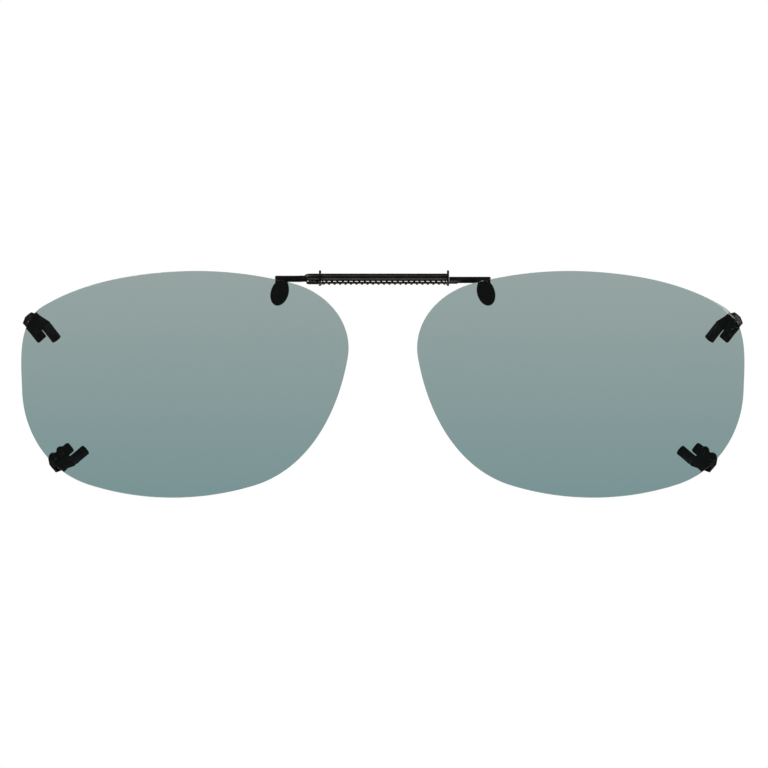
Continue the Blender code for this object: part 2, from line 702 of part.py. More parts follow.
def spring_places():
    """X, and turns from the start, of the points along the spring's wire, closer at each end."""
    room = PLATE_SPAN - 2 * SEAT_GAP - SPRING_WIRE
    end_pitch = SPRING_WIRE + SPRING_END_GAP
    open_turns = round((room - 2 * end_pitch) / SPRING_PITCH)
    open_pitch = (room - 2 * end_pitch) / open_turns
    along = PLATE_SHIFT - room / 2
    places = []
    for index in range((open_turns + 2) * COIL_STEPS + 1):
        turn = index / COIL_STEPS
        places.append((along, turn))
        ending = turn < 1 or turn >= open_turns + 1
        along += (end_pitch if ending else open_pitch) / COIL_STEPS
    return places


def make_spring(finish, group):
    """A compression coil between the plates."""
    radius = SPRING_RADIUS - SPRING_WIRE / 2
    places = spring_places()
    curve = bpy.data.curves.new("bridge_spring", "CURVE")
    curve.dimensions = "3D"
    curve.bevel_depth = SPRING_WIRE / 2
    curve.bevel_resolution = 2
    curve.use_fill_caps = True
    spline = curve.splines.new("POLY")
    spline.points.add(len(places) - 1)
    for point, (along, turn) in zip(spline.points, places):
        angle = math.tau * turn
        point.co = (along, bridge_y() - radius * math.sin(angle), ROD_Z - radius * math.cos(angle), 1)
    curve.materials.append(finish)
    group.objects.link(bpy.data.objects.new("bridge_spring", curve))


def hang_right_half(group, moving):
    """Parent what the right lens carries to an empty on the bridge's slide axis."""
    slide = bpy.data.objects.new("bridge_slide", None)
    slide.location = (0, bridge_y(), ROD_Z)
    group.objects.link(slide)
    for item in group.objects:
        if item.name.startswith("right_") or item.name in moving:
            item.parent = slide
            item.matrix_parent_inverse = Matrix.Translation(slide.location).inverted()


def build():
    clear_scene()
    group = collection("clip_on_sunglasses")
    cutters = collection("cutters")
    tint = lens_material()
    metal = metal_material()
    steel = spring_material()
    vinyl = vinyl_material()
    acetate = pad_material()
    make_lens(tint, group, cutters)
    make_prongs(metal, vinyl, group, cutters)
    make_pads(acetate, group, cutters)
    make_left_arm(metal, group, cutters)
    make_right_arm(metal, group, cutters)
    make_guide_tube(metal, group)
    make_slide_rod(metal, group)
    make_rod_end(metal, group)
    make_plate("slide_plate", SLIDE_PLATE_X, SLIDE_GAP, SEAT_GAP, metal, group, cutters)
    make_plate("fixed_plate", FIXED_PLATE_X, SEAT_GAP, SLIDE_GAP, metal, group, cutters)
    make_spring(steel, group)
    hang_right_half(group, ("slide_rod", "slide_plate", "rod_end"))


build()
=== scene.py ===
"""Clip-on sunglasses: tinted lenses, a sprung bridge and sleeved prongs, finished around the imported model."""
import math

import bpy
from mathutils import Matrix, Vector


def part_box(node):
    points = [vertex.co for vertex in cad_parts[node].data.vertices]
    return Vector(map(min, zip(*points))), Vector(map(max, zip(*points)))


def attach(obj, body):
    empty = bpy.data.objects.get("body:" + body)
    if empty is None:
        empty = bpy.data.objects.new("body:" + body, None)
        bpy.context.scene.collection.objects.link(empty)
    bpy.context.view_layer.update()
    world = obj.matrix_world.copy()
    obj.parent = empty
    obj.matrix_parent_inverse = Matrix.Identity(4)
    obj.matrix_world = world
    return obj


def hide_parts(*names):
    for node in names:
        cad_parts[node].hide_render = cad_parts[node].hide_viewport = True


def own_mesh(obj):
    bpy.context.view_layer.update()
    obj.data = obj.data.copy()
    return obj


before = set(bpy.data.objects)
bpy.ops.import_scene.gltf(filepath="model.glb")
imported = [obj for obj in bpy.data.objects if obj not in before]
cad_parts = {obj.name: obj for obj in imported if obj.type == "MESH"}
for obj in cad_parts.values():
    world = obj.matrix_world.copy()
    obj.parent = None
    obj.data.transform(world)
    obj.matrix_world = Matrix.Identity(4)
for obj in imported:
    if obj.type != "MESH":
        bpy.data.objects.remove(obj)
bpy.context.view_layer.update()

MM = 0.001

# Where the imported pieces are
LENS_LOW, LENS_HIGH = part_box("left_lens")
TUBE_LOW, TUBE_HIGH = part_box("guide_tube")
ROD_LOW, ROD_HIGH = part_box("slide_rod")
END_LOW, END_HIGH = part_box("rod_end")
SPRING_LOW, SPRING_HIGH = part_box("bridge_spring")
PAD_LOW, PAD_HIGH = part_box("left_pad")

# Lenses
LENS_RADIUS = 106.0 * MM        # of the front surface
LENS_WRAP = math.radians(4.0)
LENS_THICKNESS = 1.1 * MM
LENS_EDGE = 0.08 * MM           # polished chamfer round the rim
RIM_STEPS = 44
RINGS = 24
# The rim from the nose edge over the top: x and z from the lens centre in mm, heading in degrees.
OUTLINE = (
    (26.90, 4.33, 80.0),
    (17.87, 16.62, 165.4),
    (-2.28, 18.54, 183.8),
    (-23.22, 12.98, 210.4),
    (-26.85, -1.18, 272.1),
    (-15.84, -16.58, 342.3),
    (11.38, -16.75, 376.7),
)
LENS_CENTRE = 32.70 * MM        # from the middle of the bridge
SPHERE = Vector((LENS_RADIUS * math.sin(LENS_WRAP) - LENS_CENTRE, LENS_LOW.y + LENS_RADIUS, 0.0))

# Prongs: level, place of the inner stud from the lens centre in mm, heading of the foot in degrees,
# the hook's side, and how far to that side its middle lies in mm
PRONGS = (
    ("upper", -24.75, 8.59, -52.0, -1, 1.30),
    ("lower", -20.47, -10.94, 40.0, 1, 2.15),
)
BOND_GAP = 0.05 * MM
STUD_PITCH = 1.65 * MM
STUD_HEAD_RADIUS = 0.72 * MM
STUD_HEAD_HEIGHT = 0.32 * MM
STUD_CROWN = 0.8                # rounded share of the head's height
STUD_SHANK_RADIUS = 0.28 * MM
STUD_TAIL_RADIUS = 0.44 * MM
STUD_TAIL_HEIGHT = 0.12 * MM
STRIP_THICKNESS = 0.40 * MM
SEAT_GAP = 0.03 * MM
HOOK_DEPTH = 4.43 * MM          # hook's middle behind the lens
SLEEVE_RADIUS = 0.88 * MM
SLEEVE_BORE = 0.60 * MM
SLEEVE_LENGTH = 2.85 * MM
SLEEVE_TIP = 2.25 * MM
SLEEVE_SQUASH = 0.93            # depth of the sleeve against its width
SLEEVE_WAIST = 0.02 * MM
CLIPPED = (2.35 * MM, 0.85 * MM)    # corner cut off the strip's wall: along the foot, and across it

# Bridge
TUBE_BORE = 0.30 * MM
TUBE_LIP = 0.36 * MM
TUBE_TAPER = 1.1 * MM
TUBE_SWELL = 0.05 * MM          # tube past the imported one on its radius, and its axis below by as much
ROD_LIFT = 0.06 * MM            # rod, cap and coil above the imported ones
WIRE = 0.18 * MM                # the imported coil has 0.17 mm wire on a 0.40 mm radius
COIL_RADIUS = 0.37 * MM
COIL_PITCH = 0.89 * MM
COIL_END_GAP = 0.12 * MM
PAD_LEAN = 0.35 * MM
CRIMP_SHARES = (0.45, 0.65)     # places of the rod cap's crimp rings along it
CRIMP_REACH = 0.08 * MM
CRIMP_DEPTH = 0.03 * MM
CAP_NOSE = (0.05 * MM, 0.45 * MM)   # where the cap's nose reaches the rod's radius, and its own
CAP_BORE_LENGTH = 0.9 * MM
BRAZE_REACH = (0.95 * MM, 0.45 * MM)    # outwards and inwards from the tube's end
BRAZE_INSET = 0.22 * MM         # from the tube's front and back
BRAZE_SPAN = (0.22 * MM, 0.52 * MM)     # below and above the tube's underside

# Rounded edges
STRIP_EDGE = 0.07 * MM
PAD_EDGE = 0.22 * MM
PLATE_EDGE = 0.05 * MM
BRAZE_EDGE = 0.2 * MM
TUBE_EDGE = 0.06 * MM
ROD_EDGE = 0.04 * MM

# Fineness of the round shapes
STUD_SIDES = 40
SLEEVE_SIDES = 48
PAD_SIDES = 72
TUBE_SIDES = 64
ROD_SIDES = 32
TAPER_STEPS = 12
COIL_STEPS = 20                 # for each turn

# Studio, in metres and watts
CAMERA_DISTANCE = 4.0
VIEW_WIDTH = 126.67 * MM
VIEW_MIDDLE = (0.19 * MM, 0.03 * MM)
SENSOR_WIDTH = 36.0             # in millimetres, as Blender counts it
REFLECTED_WHITE = 0.10          # strength of the surround in reflections
FLOOR_SIZE = 0.8
FLOOR_LEVEL = -0.3
LAMPS = (
    ("key_softbox", (-0.45, -0.5, 0.8), (0.6, 0.6), 5.0),
    ("fill_softbox", (0.7, -0.4, 0.5), (0.5, 0.5), 3.0),
    ("low_strip", (0.0, -0.25, -0.28), (0.7, 0.12), 0.8),
)

LEFT, RIGHT = "left_half", "right_half"


# Modelling helpers

def calm():
    """Object mode, with nothing selected."""
    if bpy.context.object and bpy.context.object.mode != "OBJECT":
        bpy.ops.object.mode_set(mode="OBJECT")
    bpy.ops.object.select_all(action="DESELECT")


def named(name):
    piece = bpy.context.object
    piece.name = piece.data.name = name
    return piece


def edit(piece):
    """Edit mode on one piece, with all of it selected."""
    calm()
    piece.select_set(True)
    bpy.context.view_layer.objects.active = piece
    bpy.ops.object.mode_set(mode="EDIT")
    bpy.ops.mesh.select_all(action="SELECT")


def worked(piece, kind, **settings):
    """Put a modifier on a piece and apply it."""
    step = piece.modifiers.new(kind.lower(), kind)
    for name, value in settings.items():
        setattr(step, name, value)
    bpy.context.view_layer.objects.active = piece
    bpy.ops.object.modifier_apply(modifier=step.name)


def smooth(piece, angle=35.0):
    calm()
    piece.select_set(True)
    bpy.context.view_layer.objects.active = piece
    bpy.ops.object.shade_smooth_by_angle(angle=math.radians(angle))


def turned(name, profile, segments, place):
    """A piece turned about its own Z through (height, radius) pairs. One whose ends meet is a ring."""
    calm()
    height, radius = profile[0]
    bpy.ops.mesh.primitive_circle_add(vertices=segments, radius=radius, location=(0, 0, height))
    piece = named(name)
    bpy.ops.object.transform_apply()
    edit(piece)
    for (last_height, last_radius), (height, radius) in zip(profile, profile[1:]):
        bpy.ops.mesh.extrude_edges_move(TRANSFORM_OT_translate={"value": (0, 0, height - last_height)})
        grow = radius / last_radius
        bpy.ops.transform.resize(value=(grow, grow, 1), center_override=(0, 0, height))
    bpy.ops.mesh.select_all(action="SELECT")
    bpy.ops.mesh.remove_doubles(threshold=1e-6)
    bpy.ops.mesh.fill_holes(sides=0)
    bpy.ops.mesh.normals_make_consistent(inside=False)
    bpy.ops.object.mode_set(mode="OBJECT")
    piece.data.transform(place)
    smooth(piece)
    return piece


def arc(centre, radius, start, end, steps):
    """(height, radius) pairs along an arc, by angle in degrees from the axis."""
    turns = [math.radians(start + (end - start) * step / steps) for step in range(steps + 1)]
    return [(centre[0] + radius * math.cos(turn), centre[1] + radius * math.sin(turn)) for turn in turns]


def refined(node, name, edge, corner=50.0, facets=2.0):
    """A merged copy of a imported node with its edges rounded."""
    piece = bpy.data.objects.new(name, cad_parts[node].data.copy())
    piece.data.name = name
    bpy.context.scene.collection.objects.link(piece)
    edit(piece)
    bpy.ops.mesh.customdata_custom_splitnormals_clear()
    bpy.ops.mesh.remove_doubles(threshold=2e-6)
    bpy.ops.mesh.dissolve_limited(angle_limit=math.radians(facets))
    bpy.ops.object.mode_set(mode="OBJECT")
    if edge:
        worked(piece, "BEVEL", width=edge, segments=3, limit_method="ANGLE",
               angle_limit=math.radians(corner), use_clamp_overlap=True)
    smooth(piece)
    return piece


def twin(piece, name):
    """The piece's mirror image on the right lens."""
    copy = bpy.data.objects.new(name, piece.data.copy())
    copy.data.name = name
    copy.data.transform(Matrix.Scale(-1, 4, (1, 0, 0)))
    copy.data.flip_normals()
    bpy.context.scene.collection.objects.link(copy)
    return copy


def settle(piece, finish, body, slot, *nodes):
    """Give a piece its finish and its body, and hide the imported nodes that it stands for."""
    piece.data.materials.clear()
    piece.data.materials.append(finish)
    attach(piece, body)
    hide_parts(*nodes)


def settle_pair(piece, finish, slot, *nodes):
    other = twin(piece, piece.name.replace("left", "right"))
    settle(piece, finish, LEFT, slot, *nodes)
    settle(other, finish, RIGHT, slot, *[node.replace("left", "right") for node in nodes])


# Materials

class Value:
    """A socket of a material's nodes that takes part in sums."""

    def __init__(self, finish, socket):
        self.finish = finish
        self.socket = socket

    def sum(self, operation, first, second):
        return self.finish.node("ShaderNodeMath", {"operation": operation}, {0: first, 1: second})

    def __add__(self, other):
        return self.sum("ADD", self, other)

    def __radd__(self, other):
        return self.sum("ADD", other, self)

    def __sub__(self, other):
        return self.sum("SUBTRACT", self, other)

    def __rsub__(self, other):
        return self.sum("SUBTRACT", other, self)

    def __mul__(self, other):
        return self.sum("MULTIPLY", self, other)

    def __rmul__(self, other):
        return self.sum("MULTIPLY", other, self)

    def __truediv__(self, other):
        return self.sum("DIVIDE", self, other)

    def above(self, level, width):
        """0 below the level and 1 above it, over a soft step of this width."""
        return self.finish.node("ShaderNodeMapRange", {"interpolation_type": "SMOOTHSTEP"},
                                {"Value": self, "From Min": level - width / 2, "From Max": level + width / 2})


class Finish:
    """A material built from nodes around one Principled shader."""

    def __init__(self, name, **constants):
        self.material = bpy.data.materials.new(name)
        self.material.use_nodes = True
        self.tree = self.material.node_tree
        self.shader = self.tree.nodes["Principled BSDF"]
        for socket, value in constants.items():
            self.shader.inputs[socket.replace("_", " ")].default_value = value
        self.place = self.node("ShaderNodeTexCoord", output="Object")

    def feed(self, socket, value):
        if isinstance(value, Value):
            self.tree.links.new(value.socket, socket)
        else:
            socket.default_value = value

    def node(self, kind, settings=None, sockets=None, output=0):
        made = self.tree.nodes.new(kind)
        for name, value in (settings or {}).items():
            if name == "stops":
                for place, colour in value[2:]:
                    made.color_ramp.elements.new(place)
                for element, (place, colour) in zip(made.color_ramp.elements, value):
                    element.position, element.color = place, (*colour, 1.0)
            else:
                setattr(made, name, value)
        for name, value in (sockets or {}).items():
            self.feed(made.inputs[name], value)
        return Value(self, made.outputs[output])

    def drive(self, **values):
        for socket, value in values.items():
            self.feed(self.shader.inputs[socket.replace("_", " ")], value)

    def axis(self, letter):
        return self.node("ShaderNodeSeparateXYZ", sockets={0: self.place}, output=letter)

    def noise(self, size, detail=3.0, roughness=0.55, stretch=(1, 1, 1), seed=0.0):
        """Noise whose features are about this size in metres, drawn out by the stretch."""
        scale = tuple(1 / (size * part) for part in stretch)
        spot = self.node("ShaderNodeMapping", sockets={"Vector": self.place, "Scale": scale,
                                                       "Location": (seed, seed * 2, seed * 3)})
        return self.node("ShaderNodeTexNoise", sockets={"Vector": spot, "Scale": 1.0, "Detail": detail,
                                                        "Roughness": roughness})

    def blend(self, share, first, second):
        return self.node("ShaderNodeMix", {"data_type": "RGBA"}, {0: share, 6: first, 7: second}, output=2)

    def bump(self, height, depth):
        """Raise the surface by up to this depth in metres."""
        self.drive(Normal=self.node("ShaderNodeBump", sockets={"Height": height, "Distance": depth,
                                                               "Strength": 1.0}))


def tinted_lens():
    """Clear lens dyed grey-green, darker towards the bottom."""
    finish = Finish("tinted_lens", Transmission_Weight=1.0, IOR=1.5)
    height = (finish.axis("Z") - LENS_LOW.z) / (LENS_HIGH.z - LENS_LOW.z)
    cloud = finish.noise(22 * MM, detail=2.0)
    stops = ((0.0, (0.204, 0.312, 0.318)), (1.0, (0.325, 0.400, 0.385)))
    tint = finish.node("ShaderNodeValToRGB", {"stops": stops}, {0: height + (cloud - 0.5) * 0.06})
    smear = finish.noise(5 * MM, stretch=(1, 1, 2.5), seed=4.0)
    finish.drive(Base_Color=tint, Roughness=0.012 + smear.above(0.62, 0.2) * 0.02)
    return finish.material


def gunmetal():
    """Dark plating over stamped and drawn metal, with faint wear."""
    finish = Finish("gunmetal", Metallic=1.0)
    patch = finish.noise(1.6 * MM, detail=4.0)
    grain = finish.noise(0.05 * MM, stretch=(6, 1, 1), seed=2.0)
    speck = finish.noise(0.11 * MM, detail=1.0, seed=7.0).above(0.68, 0.1)
    base = finish.blend(patch.above(0.5, 0.5), (0.030, 0.028, 0.027, 1), (0.050, 0.046, 0.043, 1))
    worn = finish.blend(speck * 0.5, base, (0.16, 0.15, 0.14, 1))
    finish.drive(Base_Color=worn, Roughness=0.26 + grain * 0.12 + patch * 0.08)
    finish.bump(grain, 0.002 * MM)
    return finish.material


def rivet_steel():
    """Darkened steel, a little lighter than the plating."""
    finish = Finish("rivet_steel", Metallic=1.0)
    patch = finish.noise(0.5 * MM, detail=4.0, seed=9.0)
    base = finish.blend(patch, (0.07, 0.07, 0.066, 1), (0.14, 0.138, 0.13, 1))
    finish.drive(Base_Color=base, Roughness=0.2 + patch * 0.12)
    return finish.material


def spring_wire():
    """Dark drawn wire with fine streaks and oily patches."""
    finish = Finish("spring_wire", Metallic=1.0)
    streak = finish.noise(0.04 * MM, stretch=(3, 1, 1))
    oil = finish.noise(2.0 * MM, seed=3.0)
    base = finish.blend(streak, (0.045, 0.042, 0.039, 1), (0.12, 0.112, 0.104, 1))
    finish.drive(Base_Color=base, Roughness=0.24 + oil * 0.16)
    return finish.material


def black_vinyl():
    """Soft matte vinyl with a fine moulded grain and paler dust."""
    finish = Finish("black_vinyl", IOR=1.46)
    grain = finish.noise(0.06 * MM, detail=4.0)
    dust = finish.noise(0.5 * MM, detail=5.0, seed=5.0).above(0.6, 0.2)
    base = finish.blend(dust * 0.5, (0.0035, 0.0035, 0.0035, 1), (0.012, 0.012, 0.0115, 1))
    finish.drive(Base_Color=base, Roughness=0.55 + grain * 0.2)
    finish.bump(grain, 0.006 * MM)
    return finish.material


def black_acetate():
    """Polished black plastic with a slightly uneven surface."""
    finish = Finish("black_acetate", IOR=1.49, Coat_Roughness=0.05)
    wave = finish.noise(0.9 * MM, detail=2.0)
    rub = finish.noise(0.25 * MM, detail=4.0, seed=6.0)
    base = finish.blend(rub, (0.002, 0.0024, 0.0022, 1), (0.006, 0.0065, 0.006, 1))
    finish.drive(Base_Color=base, Roughness=0.14 + rub * 0.14, Coat_Weight=0.3 + rub * 0.2)
    finish.bump(wave, 0.01 * MM)
    return finish.material


# Lenses

def lens_depth(x, z, inset):
    """Y of the surface this far behind the left lens's front."""
    reach = LENS_RADIUS - inset
    return SPHERE.y - math.sqrt(reach ** 2 - (x - SPHERE.x) ** 2 - z ** 2)


def handles(here, ahead):
    """Handles that carry a curve between two headings as near to an arc as they allow."""
    turn = (ahead[2] - here[2] + math.pi) % math.tau - math.pi
    chord = math.hypot(ahead[0] - here[0], ahead[1] - here[1])
    reach = chord / (3 * math.cos(turn / 4) ** 2)
    leaving = (here[0] + reach * math.cos(here[2]), here[1] + reach * math.sin(here[2]), 0)
    arriving = (ahead[0] - reach * math.cos(ahead[2]), ahead[1] - reach * math.sin(ahead[2]), 0)
    return leaving, arriving


def rim_loop(name):
    """The lens's rim as a flat loop of edges round the origin."""
    calm()
    bpy.ops.curve.primitive_bezier_circle_add(radius=LENS_CENTRE)
    rim = named(name)
    spline = rim.data.splines[0]
    points = [(x * MM, z * MM, math.radians(heading)) for x, z, heading in OUTLINE]
    spline.bezier_points.add(len(points) - len(spline.bezier_points))
    rim.data.resolution_u = RIM_STEPS
    for point, here in zip(spline.bezier_points, points):
        point.handle_left_type = point.handle_right_type = "FREE"
        point.co = (here[0], here[1], 0)
    for index, here in enumerate(points):
        following = (index + 1) % len(points)
        leaving, arriving = handles(here, points[following])
        spline.bezier_points[index].handle_right = leaving
        spline.bezier_points[following].handle_left = arriving
    bpy.ops.object.convert(target="MESH")
    return bpy.context.object


def make_lens(name):
    """The rim is drawn in to the middle ring by ring, given its thickness, edged and then curved."""
    lens = rim_loop(name)
    edit(lens)
    bpy.ops.mesh.remove_doubles(threshold=1e-6)
    for ring in range(RINGS, 1, -1):
        shrink = (ring - 1) / ring
        bpy.ops.mesh.extrude_edges_move()
        bpy.ops.transform.resize(value=(shrink, shrink, 1), center_override=(0, 0, 0))
    bpy.ops.mesh.edge_face_add()
    bpy.ops.mesh.poke()
    bpy.ops.object.mode_set(mode="OBJECT")
    lens.data.transform(Matrix.Translation((-LENS_CENTRE, 0, 0)) @ Matrix.Rotation(math.pi / 2, 4, "X"))
    if lens.data.polygons[0].normal.y > 0:
        lens.data.flip_normals()
    worked(lens, "SOLIDIFY", thickness=LENS_THICKNESS, offset=-1.0)
    worked(lens, "BEVEL", width=LENS_EDGE, segments=3, limit_method="ANGLE", angle_limit=math.radians(45))
    for vert in lens.data.vertices:
        front, back = (lens_depth(vert.co.x, vert.co.z, inset) for inset in (0.0, LENS_THICKNESS))
        vert.co.y = front + (back - front) * vert.co.y / LENS_THICKNESS
    smooth(lens, 40.0)
    return lens


# Prongs

def prong_frame(spot_x, spot_z, heading):
    """Axes on the lens back: X along the foot, Y to its right seen from the front, Z away from the lens."""
    x, z = spot_x * MM - LENS_CENTRE, spot_z * MM
    place = Vector((x, lens_depth(x, z, LENS_THICKNESS), z))
    inward = (SPHERE - place).normalized()
    angle = math.radians(heading)
    along = Vector((math.cos(angle), 0, math.sin(angle)))
    along.y = -(along.x * inward.x + along.z * inward.z) / inward.y
    along.normalize()
    turn = Matrix((along, inward.cross(along), inward)).transposed()
    return Matrix.Translation(place) @ turn.to_4x4()


def stud_profile():
    """Domed head on the lens, shank through the foot and a spread tail with a punch mark."""
    crown = STUD_HEAD_HEIGHT * STUD_CROWN
    head_back = BOND_GAP + STUD_HEAD_HEIGHT
    foot_back = head_back + SEAT_GAP + STRIP_THICKNESS
    tail_front = foot_back + SEAT_GAP
    tail_back = tail_front + STUD_TAIL_HEIGHT
    flat = STUD_HEAD_RADIUS - crown
    dome = arc((BOND_GAP + crown, flat), crown, 180, 90, 8)
    tail = arc((tail_back - STUD_TAIL_HEIGHT / 2, STUD_TAIL_RADIUS - STUD_TAIL_HEIGHT / 2),
               STUD_TAIL_HEIGHT / 2, 90, 0, 4)
    mark = [(tail_back, STUD_TAIL_RADIUS * 0.4), (tail_back - STUD_TAIL_HEIGHT * 0.3, STUD_TAIL_RADIUS * 0.2)]
    return ([(BOND_GAP, flat * 0.25)] + dome + [(head_back, STUD_HEAD_RADIUS), (head_back, STUD_SHANK_RADIUS),
            (tail_front, STUD_SHANK_RADIUS), (tail_front, STUD_TAIL_RADIUS)] + tail + mark)


def sleeve_profile():
    """A cut length of tube with softened lips and a slight waist."""
    lip = (SLEEVE_RADIUS - SLEEVE_BORE) * 0.5
    middle = (SLEEVE_RADIUS + SLEEVE_BORE) / 2
    half = SLEEVE_LENGTH / 2
    outer_lip = arc((half - lip, middle), lip, 0, 90, 5)
    waist = [(half * step, SLEEVE_RADIUS - SLEEVE_WAIST * math.cos(step * math.pi / 2))
             for step in (0.6, 0.3, 0.0, -0.3, -0.6)]
    inner_lip = arc((lip - half, middle), lip, 90, 270, 8)
    bore_end = arc((half - lip, middle), lip, 270, 360, 5)
    return outer_lip + waist + inner_lip + bore_end


def clip_corner(strip, place, side, edge):
    """Cut a slanting corner off the strip where its wall meets the web."""
    along, across = CLIPPED
    normal = place.to_3x3() @ Vector((-across, side * along, 0))
    edit(strip)
    bpy.ops.mesh.bisect(plane_co=place @ Vector((-1.0 * MM, side * edge, 0)), plane_no=normal.normalized(),
                        use_fill=True, clear_outer=True)
    bpy.ops.mesh.select_all(action="SELECT")
    bpy.ops.mesh.normals_make_consistent(inside=False)
    bpy.ops.object.mode_set(mode="OBJECT")


def make_prongs(metal, steel, vinyl):
    for level, spot_x, spot_z, heading, side, hook_side in PRONGS:
        place = prong_frame(spot_x, spot_z, heading)
        prefix = "left_" + level
        strip = refined(prefix + "_prong", prefix + "_hook_strip", 0.0)
        clip_corner(strip, place, side, hook_side * MM + SLEEVE_RADIUS)
        worked(strip, "BEVEL", width=STRIP_EDGE, segments=3, limit_method="ANGLE",
               angle_limit=math.radians(50))
        smooth(strip)
        settle_pair(strip, metal, "gunmetal", prefix + "_prong")
        for index, spot in enumerate(("inner", "outer")):
            seat = place @ Matrix.Translation((-index * STUD_PITCH, 0, 0))
            stud = turned(prefix + "_rivet_" + spot, stud_profile(), STUD_SIDES, seat)
            settle_pair(stud, steel, "gunmetal", prefix + "_stud_" + spot)
        middle = (SLEEVE_TIP - SLEEVE_LENGTH / 2, side * hook_side * MM, HOOK_DEPTH)
        lie = (Matrix.Translation(middle) @ Matrix.Diagonal((1, 1, SLEEVE_SQUASH, 1))
               @ Matrix.Rotation(math.pi / 2, 4, "Y"))
        sleeve = turned(prefix + "_vinyl_sleeve", sleeve_profile(), SLEEVE_SIDES, place @ lie)
        settle_pair(sleeve, vinyl, "vinyl", prefix + "_sleeve")


# Pads

def make_pads(finish):
    """An oval tab with rounded edges: its front lies along the lens and its back is flat."""
    middle = (PAD_LOW + PAD_HIGH) / 2
    half_height = (PAD_HIGH.z - PAD_LOW.z) / 2
    half_width = math.sqrt(((PAD_HIGH.x - PAD_LOW.x) / 2) ** 2 - PAD_LEAN ** 2)
    calm()
    bpy.ops.mesh.primitive_cylinder_add(vertices=PAD_SIDES, radius=1.0, depth=1.0,
                                        rotation=(math.pi / 2, 0, 0),
                                        scale=(half_width, half_height, PAD_HIGH.y - PAD_LOW.y))
    pad = named("left_oval_pad")
    bpy.ops.object.transform_apply()
    for vert in pad.data.vertices:
        vert.co.x += PAD_LEAN * vert.co.z / half_height
    worked(pad, "BEVEL", width=PAD_EDGE, segments=6, limit_method="ANGLE", angle_limit=math.radians(60))
    depth = PAD_HIGH.y - PAD_LOW.y
    for vert in pad.data.vertices:
        x, z = vert.co.x + middle.x, vert.co.z + middle.z
        front = lens_depth(x, z, LENS_THICKNESS) + BOND_GAP
        share = (vert.co.y + depth / 2) / depth
        vert.co = (x, front + (PAD_HIGH.y - front) * share, z)
    smooth(pad, 60.0)
    settle_pair(pad, finish, "pad", "left_pad")


# Bridge

def along_bridge(axis_point):
    """From a turned piece's own axis to a line through this point along +X."""
    return Matrix.Translation((0, axis_point.y, axis_point.z)) @ Matrix.Rotation(math.pi / 2, 4, "Y")


def make_braze(finish):
    """The bead of braze that joins the left arm to the underside of the swaged tube."""
    low = Vector((TUBE_LOW.x - BRAZE_REACH[0], TUBE_LOW.y + BRAZE_INSET, TUBE_LOW.z - BRAZE_SPAN[0]))
    high = Vector((TUBE_LOW.x + BRAZE_REACH[1], TUBE_HIGH.y - BRAZE_INSET, TUBE_LOW.z + BRAZE_SPAN[1]))
    calm()
    bpy.ops.mesh.primitive_cube_add(size=1, location=(low + high) / 2, scale=high - low)
    bead = named("left_arm_braze")
    bpy.ops.object.transform_apply()
    worked(bead, "BEVEL", width=BRAZE_EDGE, segments=5)
    smooth(bead)
    settle(bead, finish, LEFT, "gunmetal")


def make_guide_tube(finish):
    middle = (TUBE_LOW + TUBE_HIGH) / 2
    radius = (TUBE_HIGH.z - TUBE_LOW.z) / 2 + TUBE_SWELL
    middle.z -= TUBE_SWELL
    edge = TUBE_EDGE
    taper = [(TUBE_LOW.x + TUBE_TAPER * (1 - math.cos(turn)), TUBE_LIP + (radius - TUBE_LIP) * math.sin(turn))
             for turn in (math.pi / 2 * step / TAPER_STEPS for step in range(TAPER_STEPS + 1))]
    end = TUBE_HIGH.x
    profile = [(TUBE_LOW.x, TUBE_BORE), *taper, (end - edge, radius), (end, radius - edge),
               (end, TUBE_BORE + edge), (end - edge, TUBE_BORE), (TUBE_LOW.x, TUBE_BORE)]
    tube = turned("bridge_guide_tube", profile, TUBE_SIDES, along_bridge(middle))
    settle(tube, finish, LEFT, "gunmetal", "guide_tube")


def make_slide_rod(finish):
    middle = (ROD_LOW + ROD_HIGH) / 2 + Vector((0, 0, ROD_LIFT))
    radius = (ROD_HIGH.z - ROD_LOW.z) / 2
    edge = ROD_EDGE
    profile = [(ROD_LOW.x, radius - edge), (ROD_LOW.x + edge, radius), (ROD_HIGH.x - edge, radius),
               (ROD_HIGH.x, radius - edge)]
    rod = turned("bridge_slide_rod", profile, ROD_SIDES, along_bridge(middle))
    settle(rod, finish, RIGHT, "gunmetal", "slide_rod")


def make_rod_end(finish):
    """The cap on the rod's tail, with two crimp rings."""
    middle = (END_LOW + END_HIGH) / 2 + Vector((0, 0, ROD_LIFT))
    radius = (END_HIGH.z - END_LOW.z) / 2
    rod = (ROD_HIGH.z - ROD_LOW.z) / 2
    nose_start, nose_end = CAP_NOSE
    profile = [(END_LOW.x, rod * 0.5), (END_LOW.x + nose_start, rod), (END_LOW.x + nose_end, radius)]
    for share in CRIMP_SHARES:
        spot = END_LOW.x + (END_HIGH.x - END_LOW.x) * share
        profile += [(spot - CRIMP_REACH, radius), (spot, radius - CRIMP_DEPTH), (spot + CRIMP_REACH, radius)]
    profile += [(END_HIGH.x - CRIMP_DEPTH, radius), (END_HIGH.x, radius - CRIMP_DEPTH),
                (END_HIGH.x, rod + SEAT_GAP), (END_HIGH.x - CAP_BORE_LENGTH, rod + SEAT_GAP)]
    cap = turned("bridge_rod_cap", profile, ROD_SIDES, along_bridge(middle))
    settle(cap, finish, RIGHT, "gunmetal", "rod_end")


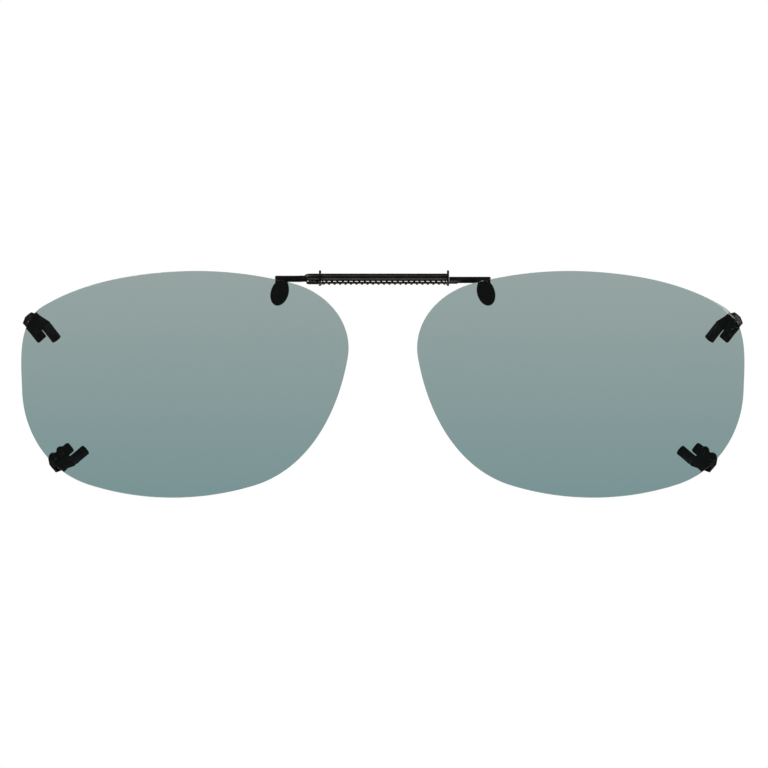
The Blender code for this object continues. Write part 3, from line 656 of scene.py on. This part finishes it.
def coil_points():
    """The spring's wire, with a closer turn at each end."""
    middle = (SPRING_LOW + SPRING_HIGH) / 2
    radius = COIL_RADIUS - WIRE / 2
    room = SPRING_HIGH.x - SPRING_LOW.x - WIRE
    end_pitch = WIRE + COIL_END_GAP
    open_turns = round((room - 2 * end_pitch) / COIL_PITCH)
    open_pitch = (room - 2 * end_pitch) / open_turns
    along = SPRING_LOW.x + WIRE / 2
    height = (ROD_LOW.z + ROD_HIGH.z) / 2 + ROD_LIFT
    points = []
    for index in range((open_turns + 2) * COIL_STEPS + 1):
        turn = index / COIL_STEPS
        angle = math.tau * turn
        points.append((along, middle.y - radius * math.sin(angle), height - radius * math.cos(angle)))
        along += (end_pitch if turn < 1 or turn >= open_turns + 1 else open_pitch) / COIL_STEPS
    return points


def make_spring(finish):
    calm()
    bpy.ops.curve.primitive_nurbs_path_add()
    spring = named("bridge_coil_spring")
    points = coil_points()
    spring.data.splines.clear()
    spline = spring.data.splines.new("POLY")
    spline.points.add(len(points) - 1)
    for point, place in zip(spline.points, points):
        point.co = (*place, 1)
    spring.data.bevel_depth = WIRE / 2
    spring.data.bevel_resolution = 3
    spring.data.use_fill_caps = True
    bpy.ops.object.convert(target="MESH")
    spring = bpy.context.object
    edit(spring)
    bpy.ops.mesh.remove_doubles(threshold=1e-7)
    bpy.ops.object.mode_set(mode="OBJECT")
    smooth(spring, 50.0)
    settle(spring, finish, LEFT, "spring", "bridge_spring")
    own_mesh(spring)


def make_bridge(metal, wire):
    for node, name, body in (("left_arm", "left_bridge_arm", LEFT),
                             ("right_arm", "right_bridge_arm", RIGHT),
                             ("fixed_plate", "right_end_plate", LEFT),
                             ("slide_plate", "left_end_plate", RIGHT)):
        settle(refined(node, name, PLATE_EDGE if "plate" in node else 0.0), metal, body, "gunmetal", node)
    make_braze(metal)
    make_guide_tube(metal)
    make_slide_rod(metal)
    make_rod_end(metal)
    make_spring(wire)


# Studio

def make_camera():
    """A long lens straight in front."""
    x, z = VIEW_MIDDLE
    bpy.ops.object.camera_add(location=(x, -CAMERA_DISTANCE, z), rotation=(math.pi / 2, 0, 0))
    camera = bpy.context.object
    camera.data.sensor_width = SENSOR_WIDTH
    camera.data.lens = SENSOR_WIDTH * CAMERA_DISTANCE / VIEW_WIDTH
    camera.data.clip_start = 0.01
    camera.data.clip_end = 20.0
    bpy.context.scene.camera = camera


def make_floor():
    calm()
    bpy.ops.mesh.primitive_grid_add(x_subdivisions=4, y_subdivisions=4, size=FLOOR_SIZE,
                                    location=(0, 0, FLOOR_LEVEL))
    floor = named("studio_floor")
    finish = Finish("studio_floor_paper", Roughness=0.9)
    fibre = finish.noise(3 * MM)
    finish.drive(Base_Color=finish.blend(fibre, (0.82, 0.82, 0.82, 1), (0.86, 0.86, 0.86, 1)))
    floor.data.materials.append(finish.material)


def make_lamp(name, spot, size, power):
    bpy.ops.object.light_add(type="AREA", location=spot)
    lamp = named(name)
    lamp.data.shape = "RECTANGLE"
    lamp.data.size, lamp.data.size_y = size
    lamp.data.energy = power
    lamp.rotation_euler = (-Vector(spot)).to_track_quat("-Z", "Y").to_euler()


def make_room():
    """A white surround, dim in what the pieces reflect so that their dark finishes stay dark."""
    world = bpy.data.worlds.new("white_room")
    bpy.context.scene.world = world
    world.use_nodes = True
    tree = world.node_tree
    background = tree.nodes["Background"]
    background.inputs["Color"].default_value = (1, 1, 1, 1)
    # Glossy Depth and not Is Glossy Ray, which is also true of rays that pass straight through the lenses.
    rays = tree.nodes.new("ShaderNodeLightPath")
    dim = tree.nodes.new("ShaderNodeMapRange")
    tree.links.new(rays.outputs["Glossy Depth"], dim.inputs["Value"])
    dim.inputs["To Min"].default_value = 1.0
    dim.inputs["To Max"].default_value = REFLECTED_WHITE
    tree.links.new(dim.outputs["Result"], background.inputs["Strength"])


def make_studio():
    make_floor()
    make_room()
    for lamp in LAMPS:
        make_lamp(*lamp)
    bpy.context.scene.view_settings.view_transform = "Standard"


def build():
    metal = gunmetal()
    settle_pair(make_lens("left_tinted_lens"), tinted_lens(), "tinted_lens", "left_lens")
    make_prongs(metal, rivet_steel(), black_vinyl())
    make_pads(black_acetate())
    make_bridge(metal, spring_wire())
    make_camera()
    make_studio()


build()
